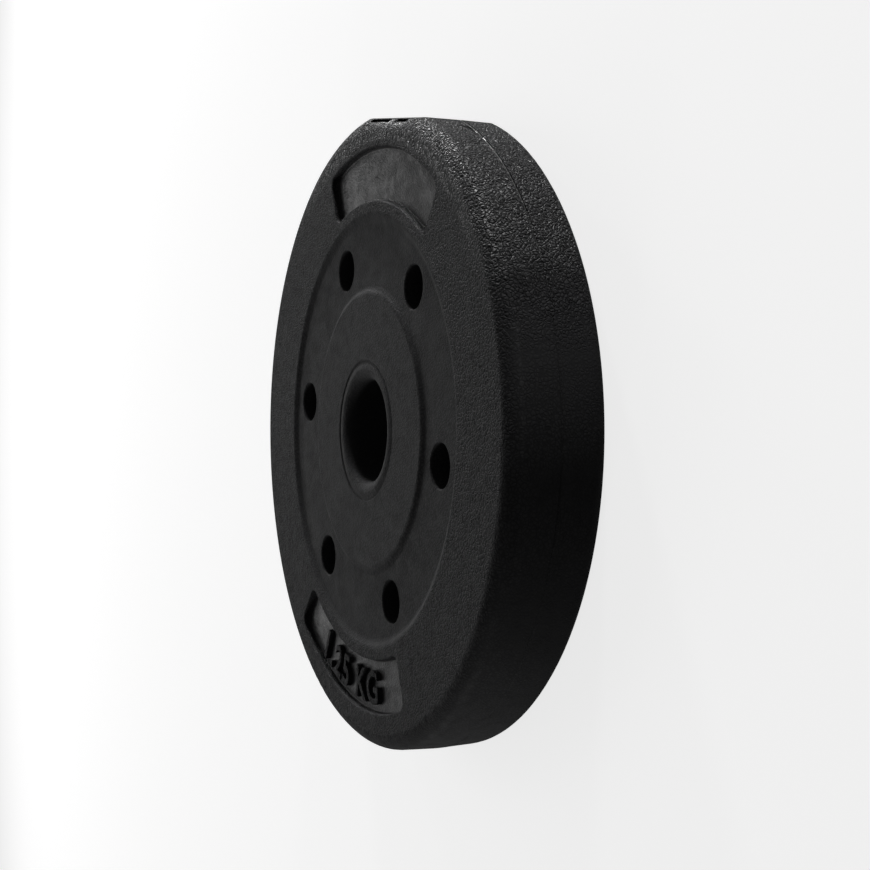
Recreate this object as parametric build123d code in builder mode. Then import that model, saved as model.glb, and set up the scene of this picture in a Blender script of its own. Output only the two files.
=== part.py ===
from build123d import *
import math
import os

# A moulded weight plate that lies on its back face: +Z is its axis and the front face looks up.
# The origin is the centre of the bore, half way through the plate, and +Y points to the flat on the rim.
# All sizes are in millimetres.

# Overall size
plate_diameter = 175.0
plate_thickness = 26.5

# Rim: each half narrows from the parting line to its face, and a soft rounded chamfer breaks the shoulder
rim_draft = 0.5
shoulder_chamfer = 2.6
shoulder_rounding = 3.6
parting_groove_width = 0.8
parting_groove_depth = 0.25

# Flat across the rim at twelve o'clock, with two short slots under its front edge
flat_depth = 2.2
slot_lengths = (13.3, 7.5)
slot_gap = 4.2
slot_shift = -1.6
slot_height = 0.9
slot_depth = 4.5
slot_cover = 0.4

# Round witness mark of the mould beside the flat, a shallow disc sunk in the front half of the rim
mark_diameter = 9.0
mark_depth = 0.3
mark_angle = 71.0
mark_height = 4.8

# Bore and its lip: a low bead that rolls over into the bore, with a fine groove round its outside
bore_diameter = 28.0
lip_rounding = 3.2
lip_flank_width = 2.0
lip_groove_depth = 0.3
lip_groove_wall_run = 0.5

# Outer band of each face, between the shoulder and the ring channel
band_width = 24.8

# Ring channel inside the band
channel_width = 21.6
channel_depth = 1.05
channel_inner_wall_run = 1.5
channel_outer_wall_run = 1.9
channel_rounding = 1.8

# Hub, the flat middle of each face inside the channel, a little below the band
hub_drop = 0.1

# Ring of small holes along the middle of the channel's floor, one of them at three o'clock
small_hole_count = 6
small_hole_diameter = 11.6
small_hole_chamfer = 0.3

# Sunk label fields above and below the bore, in the front band
label_inner_margin = 3.4
label_outer_margin = 6.8
label_depth = 2.0
label_corner_radius = 3.0
label_draft_angle = 12.0
label_edge_rounding = 0.4
top_label_angle = 90.8
top_label_sweep = 58.6
bottom_label_angle = -90.0
bottom_label_sweep = 62.0

# Sizes that follow
plate_radius = plate_diameter / 2
half_thickness = plate_thickness / 2
face_radius = plate_radius - rim_draft
band_radius = face_radius - shoulder_chamfer
channel_radius = band_radius - band_width
channel_level = half_thickness - channel_depth
hub_radius = channel_radius - channel_width
hub_level = half_thickness - hub_drop
channel_floor_inner_radius = hub_radius + channel_inner_wall_run
channel_floor_outer_radius = channel_radius - channel_outer_wall_run
small_hole_circle_radius = (channel_floor_inner_radius + channel_floor_outer_radius) / 2
bore_radius = bore_diameter / 2
lip_crest_radius = bore_radius + lip_rounding
lip_foot_level = half_thickness - lip_rounding
lip_groove_radius = lip_crest_radius + lip_flank_width
lip_groove_level = hub_level - lip_groove_depth
label_inner_radius = channel_radius + label_inner_margin
label_outer_radius = band_radius - label_outer_margin
label_wall_run = label_depth * math.tan(math.radians(label_draft_angle))
flat_distance = plate_radius - flat_depth


def label_floor(middle_angle, sweep):
    """Sketches the sunk floor of a label field, a piece of a ring with rounded corners."""
    start = middle_angle - sweep / 2
    with BuildSketch(Plane.XY.offset(half_thickness - label_depth)) as floor:
        with BuildLine():
            inner = CenterArc((0, 0), label_inner_radius, start, sweep)
            outer = CenterArc((0, 0), label_outer_radius, start, sweep)
            Line(inner @ 0, outer @ 0)
            Line(inner @ 1, outer @ 1)
        make_face()
        fillet(floor.vertices(), label_corner_radius)
        offset(amount=-label_wall_run, mode=Mode.REPLACE)
    return floor.sketch


with BuildPart() as plate:
    # Section from the bore out to the parting line: the front half, mirrored to the back
    with BuildSketch(Plane.XZ) as section:
        with BuildLine():
            bore_wall = Line((bore_radius, 0), (bore_radius, lip_foot_level))
            lip_roll = CenterArc((lip_crest_radius, lip_foot_level), lip_rounding, 180, -90)
            lip_flank = TangentArc(lip_roll @ 1, (lip_groove_radius, lip_groove_level), tangent=(1, 0))
            face = Polyline(
                lip_flank @ 1,
                (lip_groove_radius + lip_groove_wall_run, hub_level),
                (hub_radius, hub_level),
                (channel_floor_inner_radius, channel_level),
                (channel_floor_outer_radius, channel_level),
                (channel_radius, half_thickness),
                (face_radius, half_thickness),
            )
            rim = Line(face @ 1, (plate_radius, parting_groove_width / 2))
            groove = Line(rim @ 1, (plate_radius - parting_groove_depth, 0))
            Line(groove @ 1, bore_wall @ 0)
        make_face()
        channel_corners = section.vertices().filter_by(
            lambda corner: hub_radius <= corner.X <= channel_radius and corner.Y > 0
        )
        fillet(channel_corners, channel_rounding)
        chamfer(section.vertices().sort_by_distance((face_radius, half_thickness))[0], shoulder_chamfer)
        fillet(section.vertices().sort_by_distance((face_radius, half_thickness))[:2], shoulder_rounding)
        mirror(about=Plane.XZ)
    revolve(axis=Axis.Z)

    # Flat on the rim, with the same shoulder along its two long edges
    with BuildSketch(Plane.YZ) as flat_section:
        with Locations((flat_distance, 0)):
            Rectangle(flat_distance + plate_radius, plate_thickness, align=(Align.MAX, Align.CENTER))
        chamfer(flat_section.vertices().group_by(Axis.X)[-1], shoulder_chamfer)
        fillet(flat_section.vertices().group_by(Axis.X)[-1], shoulder_rounding)
        fillet(flat_section.vertices().group_by(Axis.X)[1], shoulder_rounding)
    extrude(amount=plate_radius, both=True, mode=Mode.INTERSECT)

    # Small holes through the channel, their mouths broken by a fine chamfer
    with PolarLocations(small_hole_circle_radius, small_hole_count):
        Hole(small_hole_diameter / 2)
    chamfer(plate.edges(Select.LAST).filter_by(GeomType.CIRCLE), small_hole_chamfer)

    # Label fields, sunk with drafted walls and eased edges
    for middle_angle, sweep in ((top_label_angle, top_label_sweep), (bottom_label_angle, bottom_label_sweep)):
        extrude(label_floor(middle_angle, sweep), amount=label_depth, taper=-label_draft_angle, mode=Mode.SUBTRACT)
        edges_by_level = plate.edges(Select.LAST).group_by(Axis.Z)
        fillet(edges_by_level[0] + edges_by_level[-1], label_edge_rounding)

    # Slots under the front edge of the flat, side by side
    slot_row_start = slot_shift - (sum(slot_lengths) + slot_gap) / 2
    slot_starts = (slot_row_start, slot_row_start + slot_lengths[0] + slot_gap)
    slot_top = flat_distance - slot_cover
    for slot_start, slot_length in zip(slot_starts, slot_lengths):
        with Locations((slot_start, slot_top, half_thickness)):
            Box(
                slot_length,
                slot_height,
                slot_depth,
                align=(Align.MIN, Align.MAX, Align.MAX),
                mode=Mode.SUBTRACT,
            )

    # Witness mark, a disc sunk square to the rim
    mark_plane = Plane(origin=(0, 0, mark_height), z_dir=Vector(1, 0, 0).rotate(Axis.Z, mark_angle))
    with BuildSketch(mark_plane.offset(plate_radius - mark_depth)):
        Circle(mark_diameter / 2)
    extrude(amount=plate_radius, mode=Mode.SUBTRACT)

plate.part.label = "plate"
os.makedirs("parts", exist_ok=True)
export_step(plate.part, "parts/plate.step")
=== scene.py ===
"""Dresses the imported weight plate: moulded grain, the raised weight mark, studio light and camera.

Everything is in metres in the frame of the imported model: the plate lies on its back face, +Z is its axis and
+Y points to the flat on the rim.
"""

import logging
import math
from dataclasses import dataclass, field
from enum import Enum
from typing import Any

import bpy
from mathutils import Matrix, Vector


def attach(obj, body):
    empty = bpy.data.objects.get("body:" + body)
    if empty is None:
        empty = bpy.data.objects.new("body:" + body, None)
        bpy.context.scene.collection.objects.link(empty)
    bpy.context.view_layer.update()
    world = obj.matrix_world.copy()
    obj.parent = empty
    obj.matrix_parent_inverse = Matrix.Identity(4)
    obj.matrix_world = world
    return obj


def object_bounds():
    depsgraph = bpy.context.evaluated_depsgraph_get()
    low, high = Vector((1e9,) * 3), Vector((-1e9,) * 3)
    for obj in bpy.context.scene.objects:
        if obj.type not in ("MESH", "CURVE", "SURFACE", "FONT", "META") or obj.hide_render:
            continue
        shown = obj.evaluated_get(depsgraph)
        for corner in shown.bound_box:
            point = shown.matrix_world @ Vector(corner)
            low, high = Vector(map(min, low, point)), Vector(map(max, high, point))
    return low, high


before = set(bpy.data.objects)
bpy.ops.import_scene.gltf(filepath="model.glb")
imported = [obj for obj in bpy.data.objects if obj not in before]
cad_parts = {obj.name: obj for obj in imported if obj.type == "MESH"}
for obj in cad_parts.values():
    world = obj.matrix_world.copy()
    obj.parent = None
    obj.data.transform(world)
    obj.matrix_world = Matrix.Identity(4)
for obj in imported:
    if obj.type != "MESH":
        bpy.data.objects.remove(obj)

LOG = logging.getLogger("scene")
CAD_BOX = [list(corner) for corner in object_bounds()]
BODY = "root"


def mm(value: float) -> float:
    """Turns millimetres into metres.

    Args:
        value: A length in millimetres.

    Returns:
        The length in metres.
    """
    return value / 1000.0


def linear(code: str, alpha: float = 1.0) -> tuple[float, float, float, float]:
    """Turns an sRGB hex code into a linear colour.

    Args:
        code: The colour as "#rrggbb".
        alpha: The alpha that goes with it.

    Returns:
        The linear red, green and blue, and the alpha.
    """
    channels = [int(code[start : start + 2], 16) / 255.0 for start in (1, 3, 5)]
    lit = [c / 12.92 if c <= 0.04045 else ((c + 0.055) / 1.055) ** 2.4 for c in channels]
    return (lit[0], lit[1], lit[2], alpha)


def add_node(
    tree: bpy.types.NodeTree,
    kind: str,
    settings: dict[str, Any] | None = None,
    inputs: dict[str | int, Any] | None = None,
) -> bpy.types.Node:
    """Adds a node with its settings, values and links.

    Args:
        tree: The node tree that gets the node.
        kind: The node's type, such as "ShaderNodeMath".
        settings: Properties of the node, by name.
        inputs: A value, or an output socket to link from, for each input by name or number.

    Returns:
        The new node.
    """
    node = tree.nodes.new(kind)
    for name, value in (settings or {}).items():
        setattr(node, name, value)
    for key, value in (inputs or {}).items():
        if isinstance(value, bpy.types.NodeSocket):
            tree.links.new(value, node.inputs[key])
        else:
            node.inputs[key].default_value = value
    return node


class Ramp(Enum):
    """How a value runs from one end of a band to the other."""

    LINEAR = "LINEAR"
    SMOOTH = "SMOOTHSTEP"


@dataclass(frozen=True)
class MouldedRubber:
    """Mineral-filled rubber compound, moulded in a tool with an etched leather grain.

    The tool's etching left low pebbles with fine creases between them on the band, the shoulders and the rim.
    The hub, the channel and the label fields were etched finer, so they look smoother and catch more sheen.
    The skin is a dull near-black, a little lighter where the pebbles have been rubbed, with painted shade in the
    creases between pebbles and along the parting line.
    """

    name: str
    colour: str = "#29292a"
    rubbed_colour: str = "#343435"
    crease_shade_colour: str = "#18181a"
    grain_mm: float = 0.95
    grain_height_mm: float = 0.3
    fine_mm: float = 0.28
    fine_height_mm: float = 0.02
    wave_mm: float = 26.0
    wave_height_mm: float = 0.35
    smooth_share: float = 0.3
    rim_share: float = 5.0
    foot_share: float = 0.15
    seam_shade_colour: str = "#0c0c0c"
    seam_depth_mm: float = 0.9
    polish: float = 0.42
    roughness: float = 0.74
    floor_roughness: float = 0.42
    specular: float = 0.22

    def band(
        self,
        tree: bpy.types.NodeTree,
        value: bpy.types.NodeSocket,
        start: float,
        end: float,
        ramp: Ramp = Ramp.SMOOTH,
        low: float = 0.0,
        high: float = 1.0,
    ) -> bpy.types.NodeSocket:
        """Maps a value from the span start to end onto low to high.

        Args:
            tree: The material's node tree.
            value: The value to map.
            start: Where the result is low.
            end: Where the result is high.
            ramp: How the result runs between the two.
            low: The result at the start.
            high: The result at the end.

        Returns:
            The mapped value.
        """
        inputs = {"Value": value, "From Min": start, "From Max": end, "To Min": low, "To Max": high}
        node = add_node(tree, "ShaderNodeMapRange", {"interpolation_type": ramp.value}, inputs)
        return node.outputs["Result"]

    def math(
        self, tree: bpy.types.NodeTree, operation: str, first: Any, second: Any = 0.0
    ) -> bpy.types.NodeSocket:
        """Works out one number from one or two others.

        Args:
            tree: The material's node tree.
            operation: The name of the operation, such as "MULTIPLY".
            first: The first number or socket.
            second: The second number or socket.

        Returns:
            The result.
        """
        node = add_node(tree, "ShaderNodeMath", {"operation": operation}, {0: first, 1: second})
        return node.outputs[0]

    def build(self) -> bpy.types.Material:
        """Builds the material.

        Returns:
            The new material.
        """
        material = bpy.data.materials.new(self.name)
        material.use_nodes = True
        tree = material.node_tree
        tree.nodes.clear()

        place = add_node(tree, "ShaderNodeTexCoord").outputs["Object"]
        split = add_node(tree, "ShaderNodeSeparateXYZ", inputs={0: place})
        flat_place = add_node(tree, "ShaderNodeCombineXYZ", inputs={0: split.outputs[0], 1: split.outputs[1]})
        radius = add_node(
            tree, "ShaderNodeVectorMath", {"operation": "LENGTH"}, {0: flat_place.outputs[0]}
        ).outputs["Value"]
        height = self.math(tree, "ABSOLUTE", split.outputs[2])

        # Coarse grain on the band, shoulders and rim, finer inside the channel and on the sunk floors
        outside_channel = self.band(tree, radius, mm(58.4), mm(61.0))
        near_face = self.band(tree, height, mm(11.6), mm(12.6))
        near_rim = self.band(tree, radius, mm(78.4), mm(80.0))
        on_surface = self.math(tree, "MAXIMUM", near_face, near_rim)
        coarse = self.math(tree, "MULTIPLY", outside_channel, on_surface)
        sunk = self.math(tree, "MULTIPLY", outside_channel, self.math(tree, "SUBTRACT", 1.0, on_surface))
        up_rim = self.band(tree, split.outputs[1], mm(30.0), mm(80.0), Ramp.SMOOTH, self.foot_share, self.rim_share)
        on_rim = add_node(
            tree,
            "ShaderNodeMapRange",
            {"interpolation_type": Ramp.SMOOTH.value},
            {"Value": radius, "From Min": mm(83.0), "From Max": mm(86.6), "To Min": 1.0, "To Max": up_rim},
        ).outputs["Result"]
        even = self.band(tree, coarse, 0.0, 1.0, Ramp.LINEAR, self.smooth_share, 1.0)

        # Parting line, a thin crease that is deepest beside the flat and runs out towards the side; its dip in the
        # bump is real relief, and its colour is painted dark as shade
        beside_flat = self.band(tree, split.outputs[1], mm(52.0), mm(68.0))
        in_crease = self.band(tree, height, mm(0.55), mm(0.15))
        seam = self.math(tree, "MULTIPLY", self.math(tree, "MULTIPLY", in_crease, near_rim), beside_flat)
        open_grain = self.math(tree, "MULTIPLY", even, on_rim)
        strength = self.math(tree, "MULTIPLY", open_grain, self.math(tree, "SUBTRACT", 1.0, seam))

        # Creases between pebbles, their cells drawn out of round by a warp
        warp = add_node(
            tree, "ShaderNodeTexNoise", inputs={"Vector": place, "Scale": 1 / mm(1.6), "Detail": 1.0}
        ).outputs["Color"]
        centred = add_node(
            tree, "ShaderNodeVectorMath", {"operation": "SUBTRACT"}, {0: warp, 1: (0.5, 0.5, 0.5)}
        ).outputs[0]
        pull = add_node(
            tree, "ShaderNodeVectorMath", {"operation": "SCALE"}, {0: centred, "Scale": mm(1.1)}
        ).outputs[0]
        warped = add_node(tree, "ShaderNodeVectorMath", {"operation": "ADD"}, {0: place, 1: pull}).outputs[0]
        cells = add_node(
            tree,
            "ShaderNodeTexVoronoi",
            {"feature": "DISTANCE_TO_EDGE"},
            {"Vector": warped, "Scale": 1 / mm(self.grain_mm)},
        ).outputs["Distance"]
        pebbles = self.band(tree, cells, 0.0, 0.26)
        patches = add_node(
            tree, "ShaderNodeTexNoise", inputs={"Vector": place, "Scale": 1 / mm(3.4), "Detail": 2.0}
        ).outputs["Fac"]
        uneven = self.band(tree, patches, 0.3, 0.7, Ramp.LINEAR, 0.35, 1.0)
        relief = self.math(tree, "MULTIPLY", self.math(tree, "MULTIPLY", pebbles, uneven), strength)

        fine = add_node(
            tree,
            "ShaderNodeTexNoise",
            inputs={"Vector": place, "Scale": 1 / mm(self.fine_mm), "Detail": 3.0, "Roughness": 0.6},
        ).outputs["Fac"]
        waves = add_node(
            tree, "ShaderNodeTexNoise", inputs={"Vector": place, "Scale": 1 / mm(self.wave_mm), "Detail": 2.0}
        ).outputs["Fac"]

        tall = self.math(tree, "MULTIPLY", relief, mm(self.grain_height_mm))
        low = self.math(tree, "MULTIPLY", fine, mm(self.fine_height_mm))
        broad = self.math(tree, "MULTIPLY", waves, mm(self.wave_height_mm))
        crease = self.math(tree, "MULTIPLY", seam, mm(-self.seam_depth_mm))
        level = self.math(
            tree, "ADD", self.math(tree, "ADD", tall, low), self.math(tree, "ADD", broad, crease)
        )
        bump = add_node(
            tree, "ShaderNodeBump", inputs={"Strength": 1.0, "Distance": 1.0, "Height": level}
        ).outputs["Normal"]

        # Rubbed pebble tops, painted shade in the creases and along the parting line, and slow changes over the skin
        rubbed = self.math(tree, "MULTIPLY", pebbles, self.band(tree, waves, 0.4, 0.65))
        base = add_node(
            tree,
            "ShaderNodeMix",
            {"data_type": "RGBA"},
            {"Factor": rubbed, 6: linear(self.colour), 7: linear(self.rubbed_colour)},
        ).outputs[2]
        toned = add_node(
            tree, "ShaderNodeMath", {"operation": "MULTIPLY", "use_clamp": True}, {0: even, 1: on_rim}
        ).outputs[0]
        # Painted shade: the creases between pebbles are darkened as if shadowed, strongest on the coarse grain of
        # the rim
        crease_shade = self.math(tree, "MULTIPLY", self.math(tree, "SUBTRACT", 1.0, pebbles), toned)
        crease_shaded = add_node(
            tree, "ShaderNodeMix", {"data_type": "RGBA"}, {"Factor": crease_shade, 6: base, 7: linear(self.crease_shade_colour)}
        ).outputs[2]
        # Painted shade: the parting-line crease is darkened in colour as if in shadow
        seam_shaded = add_node(
            tree, "ShaderNodeMix", {"data_type": "RGBA"}, {"Factor": seam, 6: crease_shaded, 7: linear(self.seam_shade_colour)}
        ).outputs[2]
        along = self.band(tree, split.outputs[0], mm(-38.0), mm(18.0), Ramp.LINEAR, -0.07, 0.07)
        floor_rough = self.math(tree, "ADD", along, self.floor_roughness)
        dull = add_node(
            tree, "ShaderNodeMapRange", inputs={"Value": sunk, "To Min": self.roughness, "To Max": floor_rough}
        ).outputs["Result"]
        upper = self.band(tree, split.outputs[1], mm(35.0), mm(82.0), Ramp.SMOOTH, 0.0, self.polish)
        polished = self.math(tree, "MULTIPLY", self.math(tree, "MULTIPLY", pebbles, near_rim), upper)
        spread = self.band(tree, patches, 0.3, 0.7, Ramp.LINEAR, -0.05, 0.05)
        rough = self.math(tree, "SUBTRACT", self.math(tree, "ADD", dull, spread), polished)

        shader = add_node(
            tree,
            "ShaderNodeBsdfPrincipled",
            inputs={
                "Base Color": seam_shaded,
                "Roughness": rough,
                "Specular IOR Level": self.specular,
                "Normal": bump,
            },
        )
        add_node(tree, "ShaderNodeOutputMaterial", inputs={"Surface": shader.outputs[0]})
        return material


@dataclass(frozen=True)
class PaleFloor:
    """Matt white paint on a board: even and bright, with the faintest roller texture."""

    name: str = "pale_floor"
    colour: str = "#a6a6a6"
    lift: float = 0.78
    glossy_share: float = 0.15

    def build(self) -> bpy.types.Material:
        """Builds the material, which shows brighter to the camera than it lights the plate.

        Returns:
            The new material.
        """
        material = bpy.data.materials.new(self.name)
        material.use_nodes = True
        tree = material.node_tree
        tree.nodes.clear()
        place = add_node(tree, "ShaderNodeTexCoord").outputs["Object"]
        roller = add_node(tree, "ShaderNodeTexNoise", inputs={"Vector": place, "Scale": 1 / mm(4.0)}).outputs["Fac"]
        bump = add_node(
            tree, "ShaderNodeBump", inputs={"Strength": 0.05, "Distance": mm(0.1), "Height": roller}
        ).outputs["Normal"]
        paint = add_node(
            tree,
            "ShaderNodeBsdfPrincipled",
            inputs={"Base Color": linear(self.colour), "Roughness": 0.9, "Normal": bump},
        )
        paint.inputs["Specular IOR Level"].default_value = 0.1
        path = add_node(tree, "ShaderNodeLightPath")
        glossy = add_node(
            tree,
            "ShaderNodeMath",
            {"operation": "MULTIPLY"},
            {0: path.outputs["Is Glossy Ray"], 1: self.glossy_share},
        ).outputs[0]
        seen = add_node(
            tree, "ShaderNodeMath", {"operation": "MAXIMUM"}, {0: path.outputs["Is Camera Ray"], 1: glossy}
        ).outputs[0]
        seen = add_node(
            tree, "ShaderNodeMath", {"operation": "MAXIMUM"}, {0: seen, 1: path.outputs["Is Transmission Ray"]}
        ).outputs[0]
        lift = add_node(tree, "ShaderNodeMath", {"operation": "MULTIPLY"}, {0: seen, 1: self.lift}).outputs[0]
        glow = add_node(
            tree, "ShaderNodeEmission", inputs={"Color": (1.0, 1.0, 1.0, 1.0), "Strength": lift}
        )
        both = add_node(tree, "ShaderNodeAddShader", inputs={0: paint.outputs[0], 1: glow.outputs[0]})
        add_node(tree, "ShaderNodeOutputMaterial", inputs={"Surface": both.outputs[0]})
        return material


@dataclass(frozen=True)
class Body:
    """The moulded plate itself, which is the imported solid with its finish."""

    node: str = "plate"
    finish: MouldedRubber = field(default_factory=lambda: MouldedRubber("moulded_rubber"))

    def build(self) -> bpy.types.Object:
        """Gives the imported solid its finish.

        Returns:
            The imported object.
        """
        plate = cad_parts[self.node]
        plate.data.materials.clear()
        plate.data.materials.append(self.finish.build())
        return plate


@dataclass(frozen=True)
class WeightMark:
    """Raised weight mark in the lower label field, bent round the axis and upright when the flat is on top."""

    text: str = "1.25 KG"
    height_mm: float = 9.4
    length_mm: float = 41.0
    foot_radius_mm: float = 75.4
    middle_angle_deg: float = -90.0
    floor_mm: float = 11.25
    raise_mm: float = 1.35
    sunk_mm: float = 0.25
    edge_mm: float = 0.22
    heavier_mm: float = 0.28
    spacing: float = 1.1
    finish: MouldedRubber = field(
        default_factory=lambda: MouldedRubber("mark_rubber", smooth_share=0.2)
    )

    def flat_letters(self) -> bpy.types.Mesh:
        """Makes the letters as solid blocks with eased edges, lying in the XY plane.

        Returns:
            A mesh in metres, at the size that the letters have on the plate.
        """
        curve = bpy.data.curves.new("mark_outline", "FONT")
        curve.body = self.text
        curve.align_x = "CENTER"
        curve.space_character = self.spacing
        curve.size = 1.0
        curve.resolution_u = 8
        probe = bpy.data.objects.new("mark_probe", curve)
        bpy.context.scene.collection.objects.link(probe)
        bpy.context.view_layer.update()
        tall = mm(self.height_mm) / 0.73
        curve.size = tall
        bpy.context.view_layer.update()
        curve.extrude = mm(self.raise_mm + self.sunk_mm) / 2 - mm(self.edge_mm)
        curve.bevel_depth = mm(self.edge_mm)
        curve.bevel_resolution = 2
        curve.offset = mm(self.heavier_mm) - mm(self.edge_mm)
        bpy.context.view_layer.update()
        mesh = bpy.data.meshes.new_from_object(probe.evaluated_get(bpy.context.evaluated_depsgraph_get()))
        bpy.data.objects.remove(probe)
        bpy.data.curves.remove(curve)
        return mesh

    def build(self) -> bpy.types.Object:
        """Bends the letters round the axis and sets them in the floor of the field.

        Returns:
            The weight mark.
        """
        mesh = self.flat_letters()
        xs = [v.co.x for v in mesh.vertices]
        ys = [v.co.y for v in mesh.vertices]
        across = mm(self.length_mm) / (max(xs) - min(xs))
        up = mm(self.height_mm) / (max(ys) - min(ys))
        middle = (max(xs) + min(xs)) / 2
        foot = min(ys)
        lift = mm(self.floor_mm - self.sunk_mm) + mm(self.raise_mm + self.sunk_mm) / 2
        arc_radius = mm(self.foot_radius_mm) - mm(self.height_mm) / 2
        for vertex in mesh.vertices:
            angle = math.radians(self.middle_angle_deg) + (vertex.co.x - middle) * across / arc_radius
            reach = mm(self.foot_radius_mm) - (vertex.co.y - foot) * up
            vertex.co = Vector((reach * math.cos(angle), reach * math.sin(angle), vertex.co.z + lift))
        mark = bpy.data.objects.new("weight_mark", mesh)
        bpy.context.scene.collection.objects.link(mark)
        tidy_mesh(mark, mm(0.01), 35.0)
        mark.data.materials.clear()
        mark.data.materials.append(self.finish.build())
        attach(mark, BODY)
        return mark


def tidy_mesh(piece: bpy.types.Object, distance: float, sharp_deg: float) -> None:
    """Merges doubled points, turns normals outwards and smooths all but the sharp edges.

    Args:
        piece: The object with the mesh.
        distance: Points nearer than this become one, in metres.
        sharp_deg: Edges that fold more than this stay sharp.
    """
    import bmesh

    work = bmesh.new()
    work.from_mesh(piece.data)
    bmesh.ops.remove_doubles(work, verts=work.verts, dist=distance)
    bmesh.ops.recalc_face_normals(work, faces=work.faces)
    work.to_mesh(piece.data)
    work.free()
    piece.data.shade_smooth()
    piece.data.set_sharp_from_angle(angle=math.radians(sharp_deg))


@dataclass(frozen=True)
class SoftBox:
    """One square studio lamp that looks at the plate."""

    name: str
    place_m: tuple[float, float, float]
    side_m: float
    power_w: float

    def build(self) -> None:
        """Adds the lamp."""
        lamp = bpy.data.lights.new(self.name, "AREA")
        lamp.shape = "SQUARE"
        lamp.size = self.side_m
        lamp.energy = self.power_w
        holder = bpy.data.objects.new(self.name, lamp)
        holder.location = self.place_m
        holder.rotation_euler = Vector(self.place_m).to_track_quat("Z", "Y").to_euler()
        bpy.context.scene.collection.objects.link(holder)


@dataclass(frozen=True)
class Studio:
    """Pale floor, soft lamps and a dim even room."""

    floor_side_m: float = 8.0
    room_colour: str = "#ffffff"
    room_strength: float = 0.07
    lamps: tuple[SoftBox, ...] = (
        SoftBox("low_top_lamp", (0.00, 0.90, 0.04), 0.08, 5.0),
        SoftBox("low_far_lamp", (-0.45, 0.78, 0.04), 0.08, 6.6),
        SoftBox("low_back_lamp", (-0.78, 0.45, 0.08), 0.12, 1.8),
        SoftBox("low_foot_lamp", (0.00, -0.90, 0.08), 0.12, 1.3),
        SoftBox("back_lamp", (-0.83, 0.00, 0.34), 0.4, 0.72),
        SoftBox("back_foot_lamp", (-0.72, -0.42, 0.34), 0.4, 0.75),
        SoftBox("high_lamp", (-0.64, 0.00, 0.64), 0.4, 0.6),
    )

    def build(self) -> None:
        """Adds the floor, the lamps and the room."""
        level = CAD_BOX[0][2]
        half = self.floor_side_m / 2
        corners = [(-half, -half, level), (half, -half, level), (half, half, level), (-half, half, level)]
        mesh = bpy.data.meshes.new("floor")
        mesh.from_pydata(corners, [], [(0, 1, 2, 3)])
        mesh.materials.append(PaleFloor().build())
        floor = bpy.data.objects.new("floor", mesh)
        bpy.context.scene.collection.objects.link(floor)
        for lamp in self.lamps:
            lamp.build()
        world = bpy.data.worlds.new("room")
        world.use_nodes = True
        world.node_tree.nodes.clear()
        room = add_node(
            world.node_tree,
            "ShaderNodeBackground",
            inputs={"Color": linear(self.room_colour), "Strength": self.room_strength},
        )
        add_node(world.node_tree, "ShaderNodeOutputWorld", inputs={"Surface": room.outputs[0]})
        bpy.context.scene.world = world


@dataclass(frozen=True)
class Viewpoint:
    """The photograph's camera, found by fitting the outline and the holes of the plate."""

    place_mm: tuple[float, float, float] = (373.6, 68.9, 164.6)
    right: tuple[float, float, float] = (0.3912, 0.0712, -0.9176)
    forward: tuple[float, float, float] = (-0.9023, -0.1664, -0.3976)
    lens_mm: float = 61.09
    sensor_mm: float = 36.0
    shift: tuple[float, float] = (0.0307, -0.0053)

    def build(self) -> bpy.types.Object:
        """Adds the camera and makes it the scene's own.

        Returns:
            The camera.
        """
        data = bpy.data.cameras.new("camera")
        data.lens = self.lens_mm
        data.sensor_width = self.sensor_mm
        data.shift_x, data.shift_y = self.shift
        data.clip_start = 0.01
        camera = bpy.data.objects.new("camera", data)
        back = -Vector(self.forward).normalized()
        side = Vector(self.right)
        side = (side - side.dot(back) * back).normalized()
        up = back.cross(side)
        turn = Matrix((side, up, back)).transposed().to_4x4()
        camera.matrix_world = Matrix.Translation([mm(value) for value in self.place_mm]) @ turn
        bpy.context.scene.collection.objects.link(camera)
        bpy.context.scene.camera = camera
        return camera


def main() -> None:
    """Builds the camera, the plate's finish, the weight mark and the studio, in that order."""
    logging.basicConfig(level=logging.INFO, format="%(message)s")
    bpy.context.scene.view_settings.view_transform = "Standard"
    Viewpoint().build()
    for maker in (Body(), WeightMark()):
        piece = maker.build()
        LOG.info("%s: %d faces", piece.name, len(piece.data.polygons))
    Studio().build()


if __name__ == "__main__":
    main()
